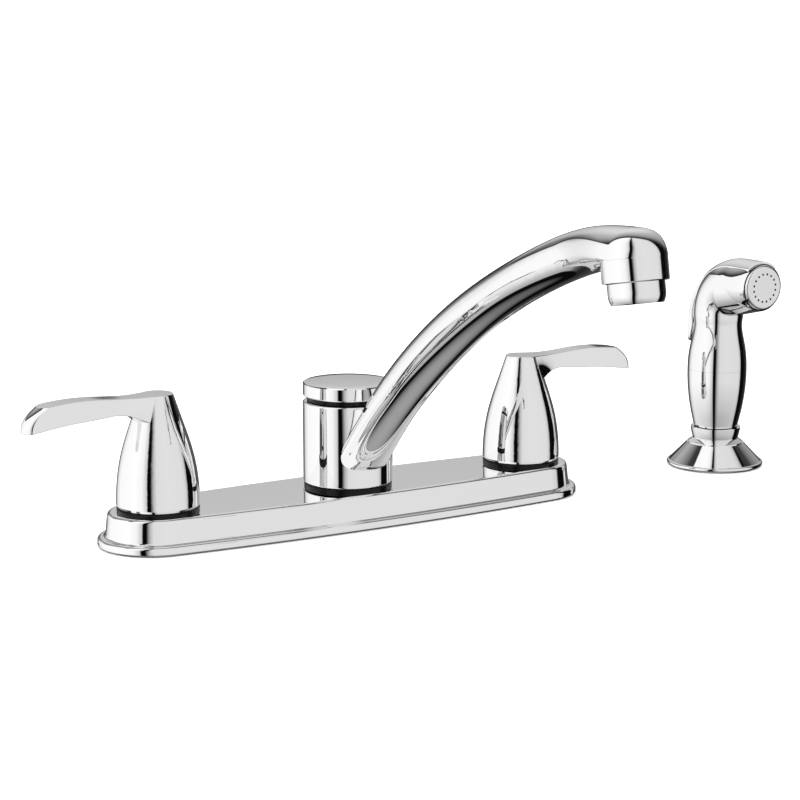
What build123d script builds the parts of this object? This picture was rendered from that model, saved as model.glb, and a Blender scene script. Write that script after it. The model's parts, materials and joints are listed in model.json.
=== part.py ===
from build123d import *
import math
import os

# Two handle kitchen faucet with a side spray, for a four hole sink deck.
# Frame: origin on top of the sink deck, on the axis of the spout post. +X runs to the cold handle,
# -Y to the user, +Z up. Millimetres. Threads are plain cylinders at their major diameter.

# Fits
running_gap = 0.08        # radial, a shaft that turns or slides in its bore
seat_gap = 0.04           # radial, a piece held still in its bore
face_gap = 0.3            # between faces of two pieces that move past each other

# Deck layout
handle_spacing = 203.2    # between the handle axes
spray_x = 228.6           # the spray's axis
deck_thickness = 12.0     # sink deck clamped between the base and the nuts

# Deck plate
plate_overhang = 28.6     # the plate ends this far beyond the handle axes
plate_half_width = 31.3
plate_end_r = 26.8
plate_height = 16.0
flange_height = 4.4
flange_step = 3.4         # the flange stands this far beyond the wall
wall_taper = 6.0          # degrees the wall leans in
top_edge_r = 2.2
flange_edge_r = 1.9
flange_crease_r = 1.3     # hollow rounding where the wall meets the flange
plate_skin = 2.2
lip_gap = 0.2             # the flange's lip clears the deck by this
lip_width = 2.0
gasket_thickness = 1.2

# Valves under the handles
shank_r = 10.48
shank_length = 58.0
shoulder_r = 15.0
neck_r = 13.5
neck_height = 22.0
thread_r = 12.0
valve_height = 30.0
inlet_r = 6.5
inlet_depth = 4.0         # the inlet bore stops this far below the deck
cartridge_r = 8.96
cartridge_flange_r = 11.6
cartridge_flange = 2.5
cartridge_neck_r = 6.5
cartridge_neck = 6.0
barrel_r = 6.9            # turning barrel of the stem, inside the cartridge
barrel_bore_r = 4.8
barrel_top = 24.0
barrel_web = 3.0          # closes the barrel below its top
stem_r = 4.5
spline_height = 15.0
spline_teeth = 16
spline_depth = 0.45
o_ring_r = 0.8            # section radius of the valve seals
seal_pitch = 22.0
bonnet_flats = 26.0
bonnet_lip = 2.5
ring_r = 19.3             # black base ring under a handle
ring_thickness = 1.9

# Water tubes under the plate
tube_r = 4.76
tube_wall = 0.85
tube_insert = 3.0
tube_height = 7.0
port_r = 3.4

# Handles
bell_base_r = 19.45
bell_waist_r = 16.85
bell_waist_z = 42.5
bell_neck_r = 12.6
bell_neck_z = 56.5
bell_top_r = 7.8
bell_top_lean = 0.32      # slope of the bell's side at the top, inward for each step up
bell_overrun = 3.0        # the bell is drawn this far past its top and then trimmed
bell_wall = 2.4
bell_roof_z = 47.0
bell_edge_r = 0.5
handle_top = 70.9
lever_dip = 70.6
lever_dip_x = 13.0
lever_crest = 71.8
lever_crest_x = 36.0
lever_shoulder = 70.1
lever_shoulder_x = 58.5
lever_shoulder_fall = 0.17
lever_reach = 66.1        # the tip, at its lowest
lever_tip_bow = 3.0       # the tip's face stands this far out of its corners
lever_tip_mid = 63.3
lever_tip_mid_z = 66.0
lever_low = 58.5          # underside at the tip
lever_tip_rise = 0.12
lever_belly = 60.8        # underside further in
lever_belly_x = 50.0
lever_arch = 62.7
lever_arch_x = 27.0
lever_knee = 61.4
lever_knee_x = 14.4
lever_root = 57.0         # where the underside runs into the bell
lever_root_x = 10.5
lever_joins = 41.0        # angle round the bell, from square to the lever, where its side leaves the bell low down
lever_joins_top = 28.0    # the same at the top
lever_splay = 1.5         # how fast the side narrows from there
lever_neck_x = 22.0
lever_neck_half = 4.75
lever_tip_half = 5.6
lever_edge_r = 0.6
adapter_r = 7.2
adapter_top = 63.0
adapter_rise = 1.5        # the adapter starts this far above the bonnet nut
screw_r = 2.0
screw_z = 51.5
screw_seat = 1.2
screw_key_flats = 2.0

# Spout post
nipple_r = 6.85
nipple_length = 48.0
nipple_bore_r = 4.2
post_r = 14.0
post_thread_r = 12.0
post_top = 63.0
post_bore_r = 6.5
waist_r = 11.5
gallery_r = 16.5
gallery_low = 31.0
gallery_high = 45.0
post_port_r = 3.2
post_seal_r = 1.0
lower_seal_z = 24.5
upper_seal_z = 52.5

# Spout hub
hub_r = 21.75
hub_high = 57.9
hub_edge_r = 0.5
hub_shoulder_r = 1.1      # rounding of the sleeve's upper edge
lower_bearing_r = 21.4
upper_bearing_r = 19.8
cap_low = 60.5
cap_high = 67.4
cap_crown = 0.5
cap_wall = 2.0
nut_r = 17.4

# Spout tube: places along its middle line. Near the hub as distance out and height, on the way as shares of the
# run and of the rise from the hub to the head, near the head as distances back from and above its mouth; then
# slope, half width and half depth.
root_back = (11.0, 27.6, 47.5, 13.6, 7.7)
spout_root = (20.5, 38.0, 47.5, 13.2, 8.8)
spout_rise = (0.171, 0.303, 42.4, 11.6, 10.8)
spout_mid = (0.311, 0.495, 35.3, 11.0, 11.0)
spout_far = (0.492, 0.694, 29.0, 10.35, 10.35)
spout_fall = (0.708, 0.872, 22.3, 9.9, 9.9)
spout_shoulder = (26.2, 10.4, 15.5, 9.3, 9.3)
spout_brow = (14.5, 12.4, 8.0, 10.2, 8.7)
spout_end = (4.0, 13.1, -2.0, 11.2, 8.1)
spout_wall = 2.4
bore_start = (16.0, 33.1)

# Spout head and aerator
head_out = 227.0
head_low = 141.6
head_lean = 10.2
head_r = 13.4
head_side = 10.0          # straight side of the head
head_dome = 11.6
head_edge_r = 0.5
head_blend_r = 6.0        # runs the tube smoothly into the head
thread_depth = 7.0
aerator_thread_r = 11.85
aerator_r = 11.5
aerator_drop = 8.5
aerator_nose_r = 10.35
aerator_bore_r = 9.6
aerator_lip = 1.4
aerator_lip_r = 8.7
insert_height = 7.0
insert_hole_r = 0.8
insert_rows = 5
screen_thickness = 0.6
screen_hole_r = 0.55
screen_pitch = 1.9
washer_thickness = 1.8

# Diverter in the post
seat_z = 16.0
seat_height = 5.0
seat_hole_r = 3.6
plunger_r = 2.0
plunger_disc_r = 5.0
plunger_disc = 3.0
spring_r = 4.6
spring_wire_r = 0.45
diverter_guide_z = 46.0
diverter_guide = 3.0

# Spray holder
flange_r = 25.6
flange_low = 0.2
flange_rim = 2.6
flange_foot = 1.4         # the rim is drawn in by this at the deck
flange_shoulder = 1.1     # and by this where the cone starts
cone_top_r = 15.2
cone_top_z = 12.3
cone_step = 0.5           # small step between the cone and the neck of the collar
collar_base_r = 12.0
collar_base_z = 14.6
collar_top_r = 13.4
collar_top_z = 20.9
collar_bow = 0.15
collar_wall = 1.2
holder_shank_r = 12.5
holder_bore_r = 10.3
holder_shank_length = 42.0
holder_ledge_z = 14.9
holder_ledge_r = 9.2
holder_ledge = 2.0
holder_gasket = 1.0
holder_gasket_r = 21.5
holder_lip = 1.0          # room round the gasket, inside the flange
holder_nut_height = 11.0
holder_nut_r = 19.0

# Spray wand
wand_base_r = 10.6
wand_low = 15.2
wand_collar_r = 11.5
wand_collar_z = 20.8
wand_mid_r = 13.6
wand_mid_z = 30.0
belly_r = 15.75
belly_z = 53.0
neck_low_r = 14.7
neck_low_z = 64.5
wand_neck_r = 12.65
wand_neck_z = 76.5
elbow_z = 83.0
elbow_r = 17.0
wand_tube_r = 13.1
barrel_bulge_r = 13.4
throat_out = 11.5         # the barrel's underside deepens towards this place at the elbow
throat_half_width = 13.3
throat_top = 12.0         # above the barrel's axis
throat_drop = 18.2        # below it
face_rim_r = 12.4
face_reach = 34.8
wand_skin = 3.2
seam_z = 52.4
seam_gap = 0.05
seam_lap = 5.0            # the grip's collar inside the upper shell starts this far below the seam
lap_wall = 1.6
face_proud = 2.1
face_edge_r = 2.0
face_r = 11.9
face_plate = 3.2
jet_ring_r = 7.25
jet_r = 0.6
jet_count = 16
jet_plate = 1.5
face_wall = 1.6
fuse_lap = 0.5            # ribs inside the wand run into its wall by this

# Trigger
trigger_half_width = 9.0
trigger_inner_r = 12.0
trigger_thickness = 1.6
trigger_edge_r = 0.7
trigger_bend_r = 24.0     # middle line, round the elbow; wider than the elbow's own
tail_back = 4.3           # the tail's middle line stands this far behind the wand's axis
tail_length = 10.4
tail_corner_r = 4.0
skirt_depth = 1.5         # the tail is this much thicker than the rest
tail_gap = 1.6            # between the tail and the wand; its travel takes up most of it
recess_depth = 1.1        # clear under the trigger
side_gap = 0.35
pin_back = 7.5            # the hinge pin behind the face rim
pin_height = 8.2          # above the barrel's axis
pin_r = 1.0
pin_length = 11.0
lug_half = 2.6
lug_drop = 4.4
lug_length = 5.0
pad_half = 2.2
pad_z = 104.6

# Spray valve
waterway_r = 6.4
waterway_bore_r = 4.6
waterway_neck_r = 4.6
waterway_neck_bore_r = 3.2
waterway_step_z = 89.0
waterway_top = 98.4
branch_z = 96.0
branch_r = 4.8
branch_bore_r = 2.7
chamber_plate = 1.4       # closes the chamber behind the spray face
valve_seat_z = 82.2
valve_seat = 1.8
valve_seat_r = 2.4
gland = 1.2
valve_stem_r = 1.8
valve_disc_r = 3.6
valve_disc = 1.8
valve_washer = 1.6
valve_spring_low = 64.0
valve_spring_r = 3.3
web = 3.0

# Hose coupling at the foot of the wand
nozzle_r = 5.0
nozzle_low = 5.2
nozzle_wall = 1.6
nozzle_lap = 1.0          # the nozzle runs up into the wand by this
coupling_r = 8.2
coupling_low = 1.0
coupling_high = 13.6
hose_barb_r = 4.2
hose_barb_length = 15.0
barb_bore_r = 2.8
barb_count = 4
barb_rise = 0.7
barb_fill = 0.7           # a barb takes this share of its pitch
clip_r = 6.8
clip_thickness = 0.8
clip_groove = 0.8
clip_slot = 3.2
hose_washer = 1.0

# Nuts under the deck
wing_nut_r = 17.5
wing_nut_height = 12.0
wing_reach = 27.0
wing_width = 4.0
wing_count = 4

# ---- worked out from the sizes above ----
half_spacing = handle_spacing / 2
plate_length = handle_spacing + 2 * plate_overhang
cap_roof = plate_height - plate_skin
valve_bore_r = cartridge_r + seat_gap
stem_low = -inlet_depth + face_gap
stem_neck_top = valve_height + cartridge_flange + cartridge_neck
ring_top = plate_height + ring_thickness
bell_low = ring_top + face_gap
hub_low = ring_top + face_gap
adapter_low = valve_height + cartridge_flange + bonnet_lip + adapter_rise
nozzle_top = wand_low + nozzle_lap
barrel_z = elbow_z + elbow_r
pin_y = -(face_reach - pin_back)
pin_z = barrel_z + pin_height
seat_top = valve_seat_z + valve_seat


def tube(outer_r, inner_r, low, high):
    """Upright tube between two heights."""
    height = high - low
    wall = Cylinder(outer_r, height, align=(Align.CENTER, Align.CENTER, Align.MIN))
    wall -= Cylinder(inner_r, height, align=(Align.CENTER, Align.CENTER, Align.MIN))
    return Pos(0, 0, low) * wall


def rod(r, low, high):
    """Upright solid cylinder between two heights."""
    return Pos(0, 0, low) * Cylinder(r, high - low, align=(Align.CENTER, Align.CENTER, Align.MIN))


def turned(points):
    """Solid of revolution about Z from a closed outline of (radius, height) points."""
    outline = Polyline([(r, 0, z) for r, z in points], close=True)
    return revolve(make_face(outline), Axis.Z)


def o_ring(bore_r, section_r, height):
    """Seal that just reaches the wall of its bore."""
    return Pos(0, 0, height) * Torus(bore_r - section_r, section_r)


def box(low, high):
    """Box between two corners."""
    size = [b - a for a, b in zip(low, high)]
    middle = [(a + b) / 2 for a, b in zip(low, high)]
    return Pos(*middle) * Box(*size)


def along_x(r, start, end, height):
    """Cylinder along X at a height."""
    return Pos((start + end) / 2, 0, height) * Rot(0, 90, 0) * Cylinder(r, abs(end - start))


def along_y(r, start, end, height):
    """Cylinder along Y at a height."""
    return Pos(0, (start + end) / 2, height) * Rot(90, 0, 0) * Cylinder(r, abs(end - start))


def hexagon(flats, low, high):
    """Upright hexagonal bar."""
    return Pos(0, 0, low) * extrude(RegularPolygon(flats / 2, 6, major_radius=False), high - low)


# ---- deck plate ----
def bar_outline(inset):
    """Plan of the plate: bowed long sides and round ends, all tangent, drawn in by an inset."""
    half_length = plate_length / 2 - inset
    half_width = plate_half_width - inset
    end_r = plate_end_r - inset
    end_x = half_length - end_r
    side_r = (end_x**2 + half_width**2 - end_r**2) / (2 * (half_width - end_r))
    side_y = side_r - half_width
    join_x = end_x + end_r * end_x / (side_r - end_r)
    join_y = end_r * side_y / (side_r - end_r)
    corners = Curve() + [
        ThreePointArc((-join_x, -join_y), (0, -half_width), (join_x, -join_y)),
        ThreePointArc((join_x, -join_y), (half_length, 0), (join_x, join_y)),
        ThreePointArc((join_x, join_y), (0, half_width), (-join_x, join_y)),
        ThreePointArc((-join_x, join_y), (-half_length, 0), (-join_x, -join_y)),
    ]
    return make_face(corners)


def cavity_inset():
    """Inset of the hollow under the plate, clear of the leaning wall's top."""
    lean = math.tan(math.radians(wall_taper)) * (cap_roof - flange_height)
    return flange_step + lean + plate_skin


def deck_plate():
    flange = Pos(0, 0, lip_gap) * extrude(bar_outline(0), flange_height - lip_gap)
    flange = fillet(flange.edges().group_by(Axis.Z)[-1], flange_edge_r)
    flange = fillet(flange.edges().group_by(Axis.Z)[0], flange_edge_r / 2)
    rise = plate_height - flange_height
    wall = Pos(0, 0, flange_height - lip_width) * extrude(
        bar_outline(flange_step), rise + lip_width, taper=wall_taper
    )
    wall = fillet(wall.edges().group_by(Axis.Z)[-1], top_edge_r)
    plate = flange + wall
    crease = [e for e in plate.edges() if abs(e.center().Z - flange_height) < lip_gap]
    plate = fillet(crease, flange_crease_r)
    plate -= extrude(bar_outline(cavity_inset()), cap_roof)
    plate -= extrude(bar_outline(lip_width), gasket_thickness)
    for x in (-half_spacing, 0, half_spacing):
        hole_r = (neck_r if x else post_r) + face_gap
        plate -= Pos(x, 0, 0) * rod(hole_r, cap_roof - 1, plate_height + 1)
    return plate


def deck_gasket():
    gasket = extrude(bar_outline(lip_width + seat_gap), gasket_thickness)
    return gasket - extrude(bar_outline(cavity_inset()), gasket_thickness)


# ---- valves; each is drawn on its own axis, with the water tube's port facing +X ----
def valve_body():
    body = rod(shank_r, -shank_length, 0) + rod(shoulder_r, 0, cap_roof)
    body += rod(neck_r, cap_roof, neck_height) + rod(thread_r, neck_height, valve_height)
    body -= rod(inlet_r, -shank_length, -inlet_depth)
    body -= rod(valve_bore_r, -inlet_depth, valve_height)
    body -= along_x(tube_r + seat_gap, shoulder_r - tube_insert, shoulder_r, tube_height)
    return body - along_x(port_r, 0, shoulder_r, tube_height)


def seal_heights():
    low = tube_height - port_r - 3 * o_ring_r
    return (low, low + seal_pitch)


def cartridge():
    housing = rod(cartridge_r, -inlet_depth, valve_height)
    housing += rod(cartridge_flange_r, valve_height, valve_height + cartridge_flange)
    housing += rod(cartridge_neck_r, valve_height + cartridge_flange, stem_neck_top)
    for height in seal_heights():
        groove_r = valve_bore_r - 2 * o_ring_r
        housing -= tube(valve_bore_r, groove_r, height - o_ring_r, height + o_ring_r)
    housing -= rod(barrel_r + running_gap, -inlet_depth, barrel_top + face_gap)
    housing -= rod(stem_r + running_gap, barrel_top, stem_neck_top)
    return housing - along_x(port_r, 0, cartridge_r, tube_height)


def cartridge_seals():
    return [o_ring(valve_bore_r, o_ring_r, height) for height in seal_heights()]


def spline(clearance, height):
    """Toothed bar at the head of the stem."""
    points = []
    for tooth in range(2 * spline_teeth):
        angle = math.pi * tooth / spline_teeth
        r = stem_r - spline_depth * (tooth % 2) + clearance
        points.append((r * math.cos(angle), r * math.sin(angle)))
    return extrude(make_face(Polyline(points, close=True)), height)


def stem():
    body = rod(barrel_r, stem_low, barrel_top) - rod(barrel_bore_r, stem_low, barrel_top - barrel_web)
    body += rod(stem_r, barrel_top, stem_neck_top + face_gap)
    body += Pos(0, 0, stem_neck_top + face_gap) * spline(0, spline_height)
    return body - along_y(port_r, -barrel_r, 0, tube_height)


def bonnet_nut():
    top = valve_height + cartridge_flange
    nut = hexagon(bonnet_flats, neck_height, top + bonnet_lip)
    nut -= rod(thread_r + seat_gap, neck_height, top)
    return nut - rod(cartridge_neck_r + seat_gap, top, top + bonnet_lip)


def base_ring():
    ring = tube(ring_r, neck_r + seat_gap, plate_height, ring_top)
    return chamfer(ring.edges().group_by(Axis.Z)[-1].sort_by(SortBy.RADIUS)[-1], ring_thickness / 3)


def adapter():
    core = rod(adapter_r, adapter_low, adapter_top)
    spline_low = stem_neck_top + face_gap
    core -= rod(cartridge_neck_r + face_gap, adapter_low, spline_low)
    core -= Pos(0, 0, spline_low) * spline(seat_gap, spline_height)
    return core - along_y(screw_r + seat_gap, adapter_r - screw_seat, adapter_r, screw_z)


# ---- handles; drawn on the axis, with the lever pointing to +X ----
def bell_side(inset):
    """Side line of the bell, drawn in by an inset, from its rim to its top."""
    return Spline(
        [
            (bell_base_r - inset, bell_low + 2 * bell_edge_r),
            (bell_waist_r - inset, bell_waist_z),
            (bell_neck_r - inset, bell_neck_z),
            (bell_top_r - inset, handle_top),
            (bell_top_r - bell_top_lean * bell_overrun - inset, handle_top + bell_overrun),
        ],
        tangents=[(0.0, 1.0), (-bell_top_lean, 1.0)],
    )


def bell():
    """The bell, drawn past its top; the handle's top line trims it."""
    side = bell_side(0)
    high = handle_top + bell_overrun
    close = Polyline(side @ 1, (0, high), (0, bell_low), (bell_base_r - bell_edge_r, bell_low), side @ 0)
    return revolve(Plane.XZ * make_face(side + close), Axis.Z)


def above_handle():
    """Everything above the line that runs flush over the bell and along the lever."""
    high = handle_top + 2 * bell_overrun
    top = Spline(
        [(-bell_base_r, handle_top), (0, handle_top), (lever_dip_x, lever_dip), (lever_crest_x, lever_crest),
         (lever_shoulder_x, lever_shoulder)],
        tangents=[(1, 0), (1, -lever_shoulder_fall)],
    )
    end_x = lever_reach + bell_top_r
    end_z = lever_shoulder - lever_shoulder_fall * (end_x - lever_shoulder_x)
    close = Polyline(top @ 1, (end_x, end_z), (end_x, high), (-bell_base_r, high), top @ 0)
    return extrude(Plane.XZ * make_face(top + close), bell_base_r, both=True)


def above_underside():
    """Everything above the lever's underside, with the curve that runs it into the bell."""
    high = handle_top + bell_overrun
    under = Spline(
        [(lever_reach, lever_low), (lever_belly_x, lever_belly), (lever_arch_x, lever_arch),
         (lever_knee_x, lever_knee), (lever_root_x, lever_root)],
        tangents=[(-1, lever_tip_rise), (-bell_top_lean / 2, -1)],
    )
    far = 2 * lever_reach
    close = Polyline(under @ 1, (0, lever_root), (0, high), (far, high), (far, lever_low), under @ 0)
    return revolve(Plane.XZ * make_face(under + close), Axis.Z)


def bell_r(height):
    """Radius of the bell's outside at a height."""
    side = bell_side(0)
    low, high = 0.0, 1.0
    for _ in range(40):
        middle = (low + high) / 2
        low, high = (middle, high) if (side @ middle).Y < height else (low, middle)
    return (side @ low).X


def lever_plan(tip, height):
    """Plan of the lever: its sides leave the bell at a flat angle, draw in to a neck and end in a bow."""
    tip_x = tip - lever_tip_bow
    share = (height - lever_root) / (handle_top - lever_root)
    joins = math.radians(lever_joins + share * (lever_joins_top - lever_joins))
    x, y = bell_r(height) * math.sin(joins), bell_r(height) * math.cos(joins)
    slope = lever_splay * (y - lever_neck_half) / (lever_neck_x - x)
    half_widths = [(0, y + slope * x / 2), (x, y), (lever_neck_x, lever_neck_half), (tip_x, lever_tip_half)]
    slopes = [0, -slope, 0, 0]
    side = Spline(half_widths, tangents=[(1, s) for s in slopes])
    end = ThreePointArc(side @ 1, (tip, 0), (tip_x, -lever_tip_half))
    other = Spline([(x, -y) for x, y in half_widths], tangents=[(1, -s) for s in slopes])
    back = Line(other @ 0, side @ 0)
    return Pos(0, 0, height) * make_face(side + end + other + back)


def lever():
    high = handle_top + bell_overrun
    tip_high = 2 * lever_shoulder_x - lever_tip_mid
    blade = loft(
        [
            lever_plan(lever_reach, lever_root),
            lever_plan(lever_reach, lever_low),
            lever_plan(lever_tip_mid, lever_tip_mid_z),
            lever_plan(lever_shoulder_x, lever_shoulder),
            lever_plan(tip_high, high),
        ]
    )
    return blade & above_underside()


def handle():
    body = bell() + lever() - above_handle()
    body = fillet([e for e in body.edges() if e.center().Z > lever_dip - 2 * lever_edge_r], lever_edge_r)
    outer = [e for e in body.edges() if e.center().X > lever_knee_x and abs(e.center().Y) > lever_edge_r]
    body = fillet([e for e in outer if lever_root < e.center().Z < lever_arch], lever_edge_r / 2)
    inner = bell_side(bell_wall)
    hollow = [(0, bell_low), (bell_base_r - bell_wall, bell_low)]
    hollow += [((inner @ t).X, (inner @ t).Y) for t in (0.0, 0.2, 0.4)]
    hollow += [(hollow[-1][0], bell_roof_z), (0, bell_roof_z)]
    body -= turned(hollow)
    body -= rod(adapter_r + seat_gap, bell_roof_z, adapter_top)
    return body - along_y(screw_r + seat_gap, 0, 2 * bell_base_r, screw_z)


def set_screw():
    screw = along_y(screw_r, adapter_r - screw_seat, bell_neck_r, screw_z)
    key = Plane.XZ * RegularPolygon(screw_key_flats / 2, 6, major_radius=False)
    key = extrude(key, screw_r, both=True)
    return screw - Pos(0, bell_neck_r, screw_z) * key


# ---- spout post and what it holds ----
def centre_body():
    body = rod(nipple_r, -nipple_length, 0) + rod(shoulder_r, 0, cap_roof)
    body += rod(post_r, cap_roof, hub_high) + rod(post_thread_r, hub_high, post_top)
    body -= tube(post_r, waist_r, gallery_low, gallery_high)
    for height in (lower_seal_z, upper_seal_z):
        groove_r = post_r - 2 * post_seal_r + running_gap / 2
        body -= tube(post_r, groove_r, height - post_seal_r, height + post_seal_r)
    body -= rod(nipple_bore_r, -nipple_length, tube_height)
    body -= rod(post_bore_r, tube_height - tube_r, post_top)
    for side in (-1, 1):
        body -= along_x(tube_r + seat_gap, side * (shoulder_r - tube_insert), side * shoulder_r, tube_height)
        body -= along_x(port_r, 0, side * shoulder_r, tube_height)
    port_z = (gallery_low + gallery_high) / 2
    body -= along_x(post_port_r, -post_r, post_r, port_z)
    return body - along_y(post_port_r, -post_r, post_r, port_z)


def spout_seals():
    reach = post_r + running_gap / 2
    return [o_ring(reach, post_seal_r, height) for height in (lower_seal_z, upper_seal_z)]


def diverter_seat():
    return tube(post_bore_r - seat_gap, seat_hole_r, seat_z, seat_z + seat_height)


def diverter_plunger():
    low = seat_z + seat_height + face_gap
    plunger = rod(plunger_r, low - seat_height, diverter_guide_z + diverter_guide)
    return plunger + rod(plunger_disc_r, low, low + plunger_disc)


def diverter_guide_ring():
    ring = tube(
        post_bore_r - seat_gap, plunger_r + running_gap, diverter_guide_z, diverter_guide_z + diverter_guide
    )
    return ring


def diverter_spring():
    low = seat_z + seat_height + face_gap + plunger_disc
    return tube(spring_r, spring_r - 2 * spring_wire_r, low + seat_gap, diverter_guide_z)


def lower_bearing():
    ring = tube(lower_bearing_r, post_r + seat_gap, plate_height, ring_top)
    return chamfer(ring.edges().group_by(Axis.Z)[-1].sort_by(SortBy.RADIUS)[-1], ring_thickness / 3)


def upper_bearing():
    return tube(upper_bearing_r, post_thread_r + seat_gap, hub_high + face_gap, cap_low)


def retaining_nut():
    nut = rod(nut_r, cap_low, cap_high - cap_wall - face_gap)
    nut -= rod(post_thread_r + seat_gap, cap_low, post_top)
    return nut


def spout_cap():
    crown_z = cap_high - cap_crown
    outline = Polyline(
        (nut_r + seat_gap, cap_low), (hub_r - hub_edge_r, cap_low), (hub_r, cap_low + hub_edge_r),
        (hub_r, crown_z - hub_edge_r), (hub_r - hub_edge_r, crown_z),
    )
    crown = Spline(
        [(hub_r - hub_edge_r, crown_z), (hub_r / 2, cap_high - cap_crown / 4), (0, cap_high)],
        tangents=[(-1, 0.09), (-1, 0)],
    )
    inner = Polyline(
        (0, cap_high), (0, cap_high - cap_wall), (nut_r + seat_gap, cap_high - cap_wall),
        (nut_r + seat_gap, cap_low),
    )
    return revolve(Plane.XZ * make_face(outline + crown + inner), Axis.Z)


# ---- spout ----
def section(out, height, slope, half_width, half_depth):
    """Oval across the spout's middle line, at its slope above the level."""
    lean = math.radians(slope)
    along = (0, -math.cos(lean), math.sin(lean))
    place = Plane(origin=(0, -out, height), x_dir=(1, 0, 0), z_dir=along)
    return place * Ellipse(half_width, half_depth)


def spout_path():
    """The tube's stations as distance out and height, from the second one at the hub to the head."""
    near_head = (spout_shoulder, spout_brow, spout_end)
    last = [(head_out - back, head_low + above, *oval) for back, above, *oval in near_head]
    end_out, end_z = last[-1][:2]
    path = [spout_root]
    for run, rise, *oval in (spout_rise, spout_mid, spout_far, spout_fall):
        out = spout_root[0] + run * (end_out - spout_root[0])
        path.append((out, spout_root[1] + rise * (end_z - spout_root[1]), *oval))
    return path + last


def spout_run(stations, inset):
    ovals = [section(out, z, slope, a - inset, b - inset) for out, z, slope, a, b in stations]
    return loft(ovals)


def head_place():
    """Plane at the mouth of the head, its normal along the head's axis, upward."""
    lean = math.radians(head_lean)
    return Plane(
        origin=(0, -head_out, head_low), x_dir=(1, 0, 0), z_dir=(0, math.sin(lean), math.cos(lean))
    )


def head():
    side = Polyline((head_r - head_edge_r, 0), (head_r, head_edge_r), (head_r, head_side))
    dome = EllipticalCenterArc((0, head_side), head_r, head_dome, arc_size=90)
    inner = Polyline((0, head_side + head_dome), (0, 0), (head_r - head_edge_r, 0))
    return head_place().location * revolve(Plane.XZ * make_face(side + dome + inner), Axis.Z)


def spout():
    sleeve = rod(hub_r, hub_low, hub_high)
    sleeve = fillet(sleeve.edges().group_by(Axis.Z)[0], hub_edge_r)
    sleeve = fillet(sleeve.edges().group_by(Axis.Z)[-1], hub_shoulder_r)
    path = spout_path()
    arm = spout_run([root_back] + path, 0) + head()
    brow_z = head_low + head_side + head_dome / 2
    crease = [e for e in arm.edges() if e.center().Z > brow_z and e.center().Y < head_r - head_out]
    body = sleeve + fillet([e for e in crease if e.geom_type == GeomType.BSPLINE], head_blend_r)
    body -= rod(post_r + running_gap, hub_low, hub_high)
    body -= rod(gallery_r, gallery_low, gallery_high)
    bore_root = (*bore_start, *spout_root[2:])
    body -= spout_run([bore_root] + path[1:], spout_wall)
    chamber = rod(aerator_thread_r + seat_gap, 0, thread_depth)
    chamber += rod(aerator_bore_r, thread_depth, head_side + head_dome / 2)
    return body - head_place().location * chamber


def aerator_housing():
    outline = Polyline(
        (aerator_bore_r, thread_depth - washer_thickness),
        (aerator_thread_r, thread_depth - washer_thickness),
        (aerator_thread_r, 0), (aerator_r, 0), (aerator_r, -aerator_drop / 2),
    )
    nose = TangentArc(outline @ 1, (aerator_nose_r, -aerator_drop), tangent=(0, -1))
    inner = Polyline(
        (aerator_nose_r, -aerator_drop), (aerator_lip_r, -aerator_drop),
        (aerator_lip_r, aerator_lip - aerator_drop), (aerator_bore_r, aerator_lip - aerator_drop),
        (aerator_bore_r, thread_depth - washer_thickness),
    )
    return head_place().location * revolve(Plane.XZ * make_face(outline + nose + inner), Axis.Z)


def aerator_insert():
    low = aerator_lip - aerator_drop + screen_thickness
    core = rod(aerator_bore_r - seat_gap, low, low + insert_height)
    pitch = 2 * aerator_bore_r / (insert_rows + 1)
    for row in range(insert_rows):
        for column in range(insert_rows):
            x = (row - (insert_rows - 1) / 2) * pitch
            y = (column - (insert_rows - 1) / 2) * pitch
            if math.hypot(x, y) + 2 * insert_hole_r < aerator_bore_r:
                core -= Pos(x, y, 0) * rod(insert_hole_r, low, low + insert_height)
    return head_place().location * core


def aerator_screen():
    low = aerator_lip - aerator_drop
    disc = rod(aerator_bore_r - seat_gap, low, low + screen_thickness)
    count = int(aerator_lip_r / screen_pitch)
    for row in range(-count, count + 1):
        for column in range(-count, count + 1):
            x, y = row * screen_pitch, column * screen_pitch
            if math.hypot(x, y) + 2 * screen_hole_r < aerator_lip_r:
                disc -= Pos(x, y, 0) * rod(screen_hole_r, low, low + screen_thickness)
    return head_place().location * disc


def aerator_washer():
    low = thread_depth - washer_thickness
    return head_place().location * tube(aerator_thread_r, aerator_lip_r, low, thread_depth)


# ---- spray holder, drawn on the spray's axis ----
def spray_holder():
    foot_r = flange_r - flange_foot
    shoulder_top = flange_r - flange_shoulder
    step_r = cone_top_r - cone_step
    rim = ThreePointArc(
        (foot_r, flange_low), (flange_r, (flange_low + flange_rim) / 2), (shoulder_top, flange_rim)
    )
    cone = Polyline(
        (shoulder_top, flange_rim), (cone_top_r, cone_top_z), (step_r, cone_top_z),
        (step_r, cone_top_z + cone_step), (collar_base_r, collar_base_z),
    )
    collar = ThreePointArc(
        cone @ 1,
        ((collar_base_r + collar_top_r) / 2 + collar_bow, (collar_base_z + collar_top_z) / 2),
        (collar_top_r, collar_top_z),
    )
    wand_seat_r = wand_base_r + 2 * running_gap + face_gap
    ledge_low = holder_ledge_z - holder_ledge
    inner = Polyline(
        collar @ 1, (collar_top_r - collar_wall, collar_top_z), (wand_seat_r, holder_ledge_z),
        (holder_ledge_r, holder_ledge_z), (holder_ledge_r, ledge_low),
        (holder_bore_r, ledge_low - holder_ledge),
        (holder_bore_r, -holder_shank_length), (holder_shank_r, -holder_shank_length),
        (holder_shank_r, holder_gasket), (holder_gasket_r + holder_lip, holder_gasket),
        (holder_gasket_r + holder_lip, flange_low), (foot_r, flange_low),
    )
    return revolve(Plane.XZ * make_face(rim + cone + collar + inner), Axis.Z)


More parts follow.
